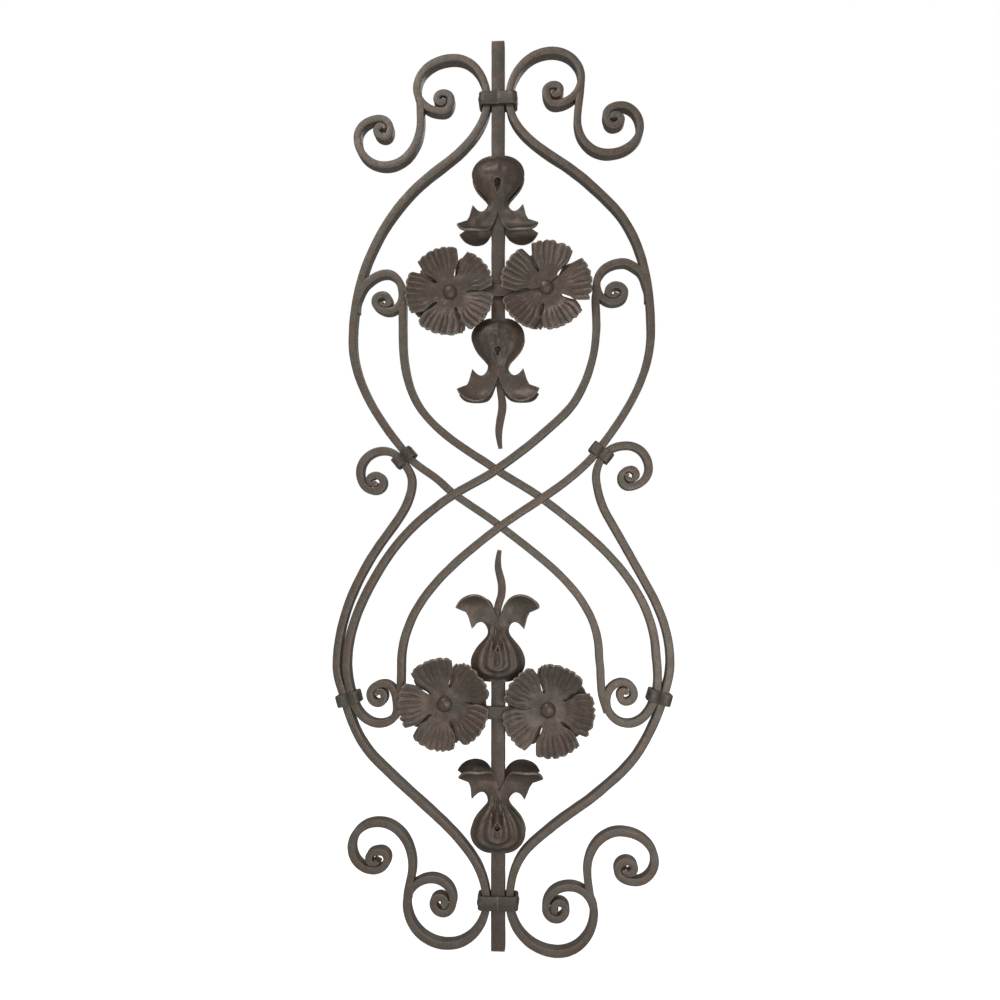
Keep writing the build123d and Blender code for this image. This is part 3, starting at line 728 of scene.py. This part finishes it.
def petal_point(u, v, radius, axis, tilt, seed):
    """Where a grid point of a petal goes: u across from -1 to 1, v from hole to edge."""
    wander = 0.5 * noise.noise(Vector((seed * 3.3, 2.2 * u, 0.5)))
    teeth = abs(sin(pi * (TEETH * (u + 1) / 2 + wander))) ** 0.6
    deep = TOOTH_DEEP + 1.6 * noise.noise(Vector((seed * 7.1, 2.8 * u, 4.5)))
    edge = radius * (1.01 - 0.02 * abs(u) ** 5) - deep * (1 - teeth)
    r = HOLE + (edge - HOLE) * v
    half = pi / PETALS
    angle = axis + u * (half - slot_half_width(r, radius) / r)
    out = max(0, r - HUB) / (radius - HUB)
    rise = CUP * out ** 1.4 + tilt * out
    line = (0.5 + 0.5 * cos(pi * (VEINS * (u + 1) + wander))) ** 4
    vein = VEIN_DEEP + 0.35 * noise.noise(Vector((seed * 5.7, 2 * u, 1.5)))
    rise -= vein * line * min(1, max(0, out - 0.18) * 4)
    rise += FLUTE * out * cos(pi * u)
    return r, angle, rise


def make_flower(name, centre, slot_angle, radius, hub_y, facing, seed):
    """Five petals about a hub, each a little different in length, tilt and edge."""
    bm = bmesh.new()
    for p in range(PETALS):
        own = seed + p * 3.1
        tilt = 2.2 * noise.noise(Vector((own, 0.5, 0.5)))
        own_radius = radius * (1 + 0.04 * noise.noise(Vector((own, 9.5, 0.5))))
        grid = bmesh.ops.create_grid(bm, x_segments=64, y_segments=30, size=1.0)
        axis = radians(slot_angle) + (2 * p + 1) * pi / PETALS
        for vert in grid["verts"]:
            r, angle, rise = petal_point(vert.co.x, (vert.co.y + 1) / 2, own_radius, axis,
                                         tilt, own)
            rise += 0.5 * noise.noise(Vector((r * cos(angle), r * sin(angle), seed * 9)) / 8)
            vert.co = Vector((centre[0] + r * cos(angle), hub_y + facing * rise,
                              centre[1] + r * sin(angle)))
    bmesh.ops.remove_doubles(bm, verts=bm.verts, dist=0.05)
    piece = make_piece(bm, name, "sheet")
    thicken(piece, facing)


def thicken(piece, facing):
    """Turns a sheet's shown side the way it faces, and gives it its thickness behind that."""
    mesh = piece.data
    way = sum(face.normal.y * face.area for face in mesh.polygons)
    if way * facing < 0:
        mesh.flip_normals()
    wall = piece.modifiers.new("sheet", "SOLIDIFY")
    wall.thickness = SHEET * MM
    wall.offset = -1.0


FRONT_RADIUS = 49.0
BACK_RADIUS = 44.0
# centre, and the direction of one slot in front and behind
flowers = {
    "upper_left": ((-52.7, 708.9), 1, 11),
    "upper_right": ((53.3, 712.9), 44.4, 55),
    "lower_left": ((-56.8, 258.8), 1.3, 12),
    "lower_right": ((54, 253.5), 30.9, 40),
}
FRONT_HUB = -STEM_SIDE / 2 - STRAP_THICK - SHEET
BACK_HUB = -STEM_SIDE / 2 + SHEET
for seed, (name, (centre, front_slot, back_slot)) in enumerate(flowers.items()):
    make_flower(f"{name}_front_flower", centre, front_slot, FRONT_RADIUS, FRONT_HUB, -1, seed + 1)
    make_flower(f"{name}_back_flower", centre, back_slot, BACK_RADIUS, BACK_HUB, 1, seed + 11)
print("flowers pressed")

# %% [markdown]
# ## The rivets
#
# A rivet's head is set with a ball hammer, so it is a low dome, a little uneven. A sphere is cut
# in half and squashed, once for the front and once for the back of each rivet. All the heads are
# one mesh. The shanks inside the sheet and strap never show.

# %% Rivets
RIVET_HEAD = 8.5
RIVET_RISE = 5.0
RIVET_SINK = 0.2


def add_dome(bm, centre, y, facing, seed):
    """One rivet head: half a sphere, squashed and a little uneven."""
    sphere = bmesh.ops.create_uvsphere(bm, u_segments=48, v_segments=24, radius=RIVET_HEAD)
    verts = sphere["verts"]
    geom = list({f for v in verts for f in v.link_faces})
    geom += list({e for v in verts for e in v.link_edges}) + verts
    cut = bmesh.ops.bisect_plane(bm, geom=geom, plane_co=(0, 0, 0), plane_no=(0, -facing, 0),
                                 clear_outer=True)
    dome = [g for g in cut["geom"] if isinstance(g, bmesh.types.BMVert)]
    rim = [e for e in cut["geom_cut"] if isinstance(e, bmesh.types.BMEdge)]
    bmesh.ops.holes_fill(bm, edges=rim, sides=0)
    for vert in dome:
        push = 1 + 0.05 * noise.noise(vert.co / 3.5 + Vector((seed, 0, 0)))
        vert.co.x *= push
        vert.co.z *= push
        vert.co.y *= push * RIVET_RISE / RIVET_HEAD
        vert.co += Vector((centre[0], y, centre[1]))


bm = bmesh.new()
for seed, (centre, _, _) in enumerate(flowers.values()):
    add_dome(bm, centre, FRONT_HUB + RIVET_SINK, -1, seed * 3.3)
    add_dome(bm, centre, BACK_HUB - RIVET_SINK, 1, seed * 3.3 + 1.5)
make_piece(bm, "flower_rivets", "rivet")
print("rivets set")

# %% [markdown]
# ## The leaves
#
# A leaf is cut from flat sheet: a round bulb, a neck and two lobes with two points each. The
# bulb is sunk into a hollow so that it hugs the stem, veins are chased round it, a drop-shaped
# hole is punched where the neck begins, and the lobes are rolled outwards. Here the outline is
# two flat faces that mirror each other, sliced into small squares as if on a grid. Every point
# is pushed out by how far the hammer would have driven it, and the lobes are rolled round a bar.

# %% Leaf outline, half of it, from the closed end to the fork
SHARP, SOFT = 0, 1
LEAF_HALF = [
    (0, 4.4, SOFT), (7, 3.4, SOFT), (14, 3.8, SOFT), (21, 7.5, SOFT), (26.8, 14, SOFT),
    (29.5, 22.5, SOFT), (28.2, 30.5, SOFT), (24, 38.5, SOFT), (18.5, 45, SOFT),
    (13.6, 50.5, SOFT), (11.2, 55.5, SOFT), (11.8, 60.5, SOFT), (14.5, 65.2, SOFT),
    (18.2, 67.2, SOFT), (22, 66, SOFT), (25.2, 63.2, SOFT), (28, 59.8, SHARP),
    (29.8, 66, SOFT), (31.5, 72.5, SOFT), (34.2, 77.8, SHARP), (39, 79.8, SOFT),
    (44.6, 82.6, SHARP), (41.5, 88, SOFT), (36, 93.5, SOFT), (28, 97.5, SOFT),
    (20, 97, SOFT), (13, 92.5, SOFT), (7.5, 85.5, SOFT), (3.2, 76.5, SOFT), (0, 67.5, SHARP),
]
GRID = 1.25
OUTLINE_STEP = 0.9
MERGE = 0.12


def smooth(marks):
    """Closely spaced points along a row of marks, round except at the sharp ones."""
    places = [Vector((x, 0, s)) for x, s, _ in marks]
    outline = []
    for i in range(len(marks) - 1):
        before, after = places[max(0, i - 1)], places[min(len(places) - 1, i + 2)]
        leave = (places[i + 1] - before) / 6 * marks[i][2]
        arrive = (after - places[i]) / 6 * marks[i + 1][2]
        steps = max(3, round((places[i + 1] - places[i]).length / OUTLINE_STEP))
        outline += interpolate_bezier(places[i], places[i] + leave, places[i + 1] - arrive,
                                      places[i + 1], steps)[:-1]
    return outline + places[-1:]


def drop(start, end, half):
    """Half a drop-shaped hole, from its point back to its round end."""
    rim = [Vector((0, 0, end)), Vector((half * 0.42, 0, end - 1.2)),
           Vector((half * 0.72, 0, end - (end - start) * 0.36))]
    for step in range(9):
        a = pi / 2 * step / 8
        rim.append(Vector((half * cos(a), 0, start + half * (1 - sin(a)))))
    return rim


def flat_leaf(start, end, half):
    """The leaf's blank, cut into small squares, with its hole already in it."""
    bm = bmesh.new()
    for side in (1, -1):
        rim = smooth(LEAF_HALF) + drop(start, end, half)
        bm.faces.new([bm.verts.new((side * p.x, 0, p.z)) for p in rim])
    bmesh.ops.recalc_face_normals(bm, faces=bm.faces)
    for normal, low, high in (((1, 0, 0), -45, 45), ((0, 0, 1), 3, 98)):
        for i in range(ceil((high - low) / GRID)):
            bmesh.ops.bisect_plane(bm, geom=[*bm.verts, *bm.edges, *bm.faces],
                                   plane_co=Vector(normal) * (low + (i + 0.5) * GRID),
                                   plane_no=normal)
    bmesh.ops.remove_doubles(bm, verts=bm.verts, dist=MERGE)
    return bm


print("points along half an outline:", len(smooth(LEAF_HALF)))

# %% Pressing a leaf
BULB_MIDDLE = 23.0
BULB_HALF = 29.5
BULB_REACH = 20.0
RIM_OUT = 7.8
DOME_CURVE = 2.5
VEIN_RINGS = 2.7
RIDGE_OUT = 0.8
RIDGE_WIDE = 3.2
GROOVE_PLACE = 4.2
GROOVE_WIDE = 1.1
CLEAR_OF_STEM = 10.0
LOBE_OUT = 10.5
LOBE_CURVE = 0.0065
NECK_END = 68
HALF_WIDTHS = [(23, 29.5), (30, 28.4), (38, 24.3), (45, 18.5), (50.5, 13.6), (56, 11.3), (70, 12)]
CROWNS = [(3, 15), (12, 16.6), (23, 17), (40, 15.4), (56, 12.4), (68, 11.2), (100, 11.2)]


def between(table, at):
    """A value from a short table, in a straight line between its rows."""
    if at <= table[0][0]:
        return table[0][1]
    for (a, low), (b, high) in zip(table, table[1:]):
        if at <= b:
            share = (at - a) / (b - a)
            return low + (high - low) * share
    return table[-1][1]


def ramp(at, low, high):
    """A smooth step from 0 to 1."""
    share = min(1, max(0, (at - low) / (high - low)))
    return share * share * (3 - 2 * share)


def press(x, s, roll_start, roll_radius, chasing, start, end):
    """Where a point of the blank goes: along the stem, and out from its middle plane."""
    if s < BULB_MIDDLE:
        u = hypot(x / BULB_HALF, (BULB_MIDDLE - s) / BULB_REACH)
    else:
        u = abs(x) / between(HALF_WIDTHS, s)
    u = min(1, u)
    out = RIM_OUT + (between(CROWNS, s) - RIM_OUT) * (1 - u ** DOME_CURVE)
    chase = cos(2 * pi * (u * VEIN_RINGS + 0.1)) * ramp(s, 4, 14) * (1 - ramp(s, 58, NECK_END))
    out += chasing * chase * (1 - ramp(u, 0.85, 1))
    out += RIDGE_OUT * exp(-(x / RIDGE_WIDE) ** 2) * (1 - ramp(s, start - 9, start - 1))
    groove = exp(-((abs(x) - GROOVE_PLACE) / GROOVE_WIDE) ** 2) * ramp(s, end - 8, end - 2)
    out -= (0.3 + 2.2 * chasing) * groove * (1 - ramp(s, 64, 69))
    if s < NECK_END:
        out = max(out, CLEAR_OF_STEM - 0.05 * max(0, abs(x) - 6) ** 2)
    lobe = LOBE_OUT + LOBE_CURVE * max(0, abs(x) - 14) ** 2
    share = ramp(s, 57, 69)
    if abs(x) > 14:
        share = max(share, ramp(s, 50, 60) * ramp(abs(x), 14, 20))
    out += (lobe - out) * share
    roll = max(0, s - roll_start) / roll_radius
    along = min(s, roll_start) + roll_radius * sin(roll)
    return along, out + roll_radius * (1 - cos(roll))


def make_leaf(name, blank, top, way, facing, lean, roll, chasing, hole, seed):
    """Presses a copy of the blank, facing the viewer (-1) or away (1), and thickens it."""
    bm = blank.copy()
    for vert in bm.verts:
        x, s = vert.co.x, vert.co.z
        along, out = press(x, s, *roll, chasing, *hole[:2])
        out += 0.7 * noise.noise(Vector((x / 10, s / 10, seed * 4.1)))
        x += lean * max(0, s - 56) / 40 + 0.6 * noise.noise(Vector((s / 25, seed * 2.7, 0.5)))
        vert.co = Vector((x, facing * out, top + way * along))
    piece = make_piece(bm, name, "sheet")
    thicken(piece, facing)


# closed end, way along Z, lean, front roll (start, radius), back roll, chasing, and the hole
# (start, end, half width)
leaves = {
    "upper": (868, -1, 0, (79, 12), (77, 16), 0.15, (30.8, 47.2, 3.9)),
    "middle": (683, -1, 1, (81, 21), (74, 15), 0.25, (35.5, 46.5, 3.6)),
    "lower": (279, 1, 0, (80, 20), (74, 15), 0.8, (35.5, 42.5, 2.2)),
    "bottom": (99, 1, 5, (78, 11), (77, 16), 1.0, (27.5, 37, 3.6)),
}
for seed, (name, leaf) in enumerate(leaves.items()):
    top, way, lean, front_roll, back_roll, chasing, hole = leaf
    blank = flat_leaf(*hole)
    make_leaf(f"{name}_front_leaf", blank, top, way, -1, lean, front_roll, chasing, hole, seed + 1)
    make_leaf(f"{name}_back_leaf", blank, top, way, 1, 0, back_roll, chasing, hole, seed + 21)
    blank.free()
print("leaves pressed")

# %% [markdown]
# ## Floor, backdrop, light and camera
#
# The panel is shown against white, as a salvage yard would show it. The floor and backdrop are
# white by their own material and only towards the camera, so that no extra light falls on the
# iron. A large soft lamp above and in front gives the broad shine, one in front of the foot
# lightens the lower half, and a weak one behind picks out the edges.

# %% Floor and backdrop
FLOOR_HALF = 6.0
FLOOR_LEVEL = -6.5 * MM


def white_ground(name):
    """Plain paper that glows only towards the camera."""
    material = bpy.data.materials.new(name)
    material.use_nodes = True
    tree = material.node_tree
    tree.nodes.clear()
    rays = add_node(tree, "ShaderNodeLightPath")
    paper = add_node(tree, "ShaderNodeBsdfDiffuse", Color=(0.8, 0.8, 0.8, 1))
    glow = add_node(tree, "ShaderNodeEmission", Color=(1, 1, 1, 1), Strength=0.86)
    both = add_node(tree, "ShaderNodeAddShader", _0=(paper, 0), _1=(glow, 0))
    mix = add_node(tree, "ShaderNodeMixShader", _0=(rays, "Is Camera Ray"), _1=(paper, 0),
                   _2=(both, 0))
    add_node(tree, "ShaderNodeOutputMaterial", Surface=(mix, 0))
    return material


ground = white_ground("studio_paper")
bm = bmesh.new()
bmesh.ops.create_grid(bm, x_segments=1, y_segments=1, size=FLOOR_HALF)
bmesh.ops.translate(bm, vec=(0, 0, FLOOR_LEVEL), verts=bm.verts)
floor_mesh = bpy.data.meshes.new("floor")
bm.to_mesh(floor_mesh)
bm.free()
floor_mesh.materials.append(ground)
floor = bpy.data.objects.new("floor", floor_mesh)
bpy.context.scene.collection.objects.link(floor)
print("floor at", FLOOR_LEVEL, "m")

# %% World and lamps
world = bpy.data.worlds.new("studio")
bpy.context.scene.world = world
world.use_nodes = True
tree = world.node_tree
tree.nodes.clear()
rays = add_node(tree, "ShaderNodeLightPath")
seen = add_node(tree, "ShaderNodeMath", {"operation": "MAXIMUM"},
                _0=(rays, "Is Camera Ray"), _1=(rays, "Is Transmission Ray"))
room = add_node(tree, "ShaderNodeBackground", Color=(1, 1, 1, 1), Strength=0.25)
white = add_node(tree, "ShaderNodeBackground", Color=(1, 1, 1, 1), Strength=1.0)
mix = add_node(tree, "ShaderNodeMixShader", _0=(seen, 0), _1=(room, 0), _2=(white, 0))
add_node(tree, "ShaderNodeOutputWorld", Surface=(mix, 0))


def soft_lamp(name, place, aim, size, power):
    """A square lamp, so many metres wide and so many watts, turned towards its aim."""
    light = bpy.data.lights.new(name, "AREA")
    light.shape, light.size, light.energy = "SQUARE", size, power
    lamp = bpy.data.objects.new(name, light)
    lamp.location = place
    lamp.rotation_euler = (Vector(aim) - Vector(place)).to_track_quat("-Z", "Y").to_euler()
    bpy.context.scene.collection.objects.link(lamp)


soft_lamp("key_lamp", (-0.6, -1.3, 1.9), (0, 0, 0.45), 0.9, 16)
soft_lamp("fill_lamp", (0.3, -1.2, 0.1), (0, 0, 0.1), 0.8, 9.5)
soft_lamp("rim_lamp", (0.8, 1.4, 1.6), (0, 0, 0.5), 1.0, 6)
print("lamps:", len(bpy.data.lights))

# %% Camera
camera_data = bpy.data.cameras.new("camera")
camera_data.sensor_width = 36.0
camera_data.lens = 31.5
camera = bpy.data.objects.new("camera", camera_data)
camera.location = (0.057, -0.960, 0.415)
aim = Vector((0.0019, 0.0, 0.479))
camera.rotation_euler = (aim - camera.location).to_track_quat("-Z", "Y").to_euler()
bpy.context.scene.collection.objects.link(camera)
bpy.context.scene.camera = camera
bpy.context.scene.view_settings.view_transform = "Standard"
print("camera lens", camera_data.lens, "mm")
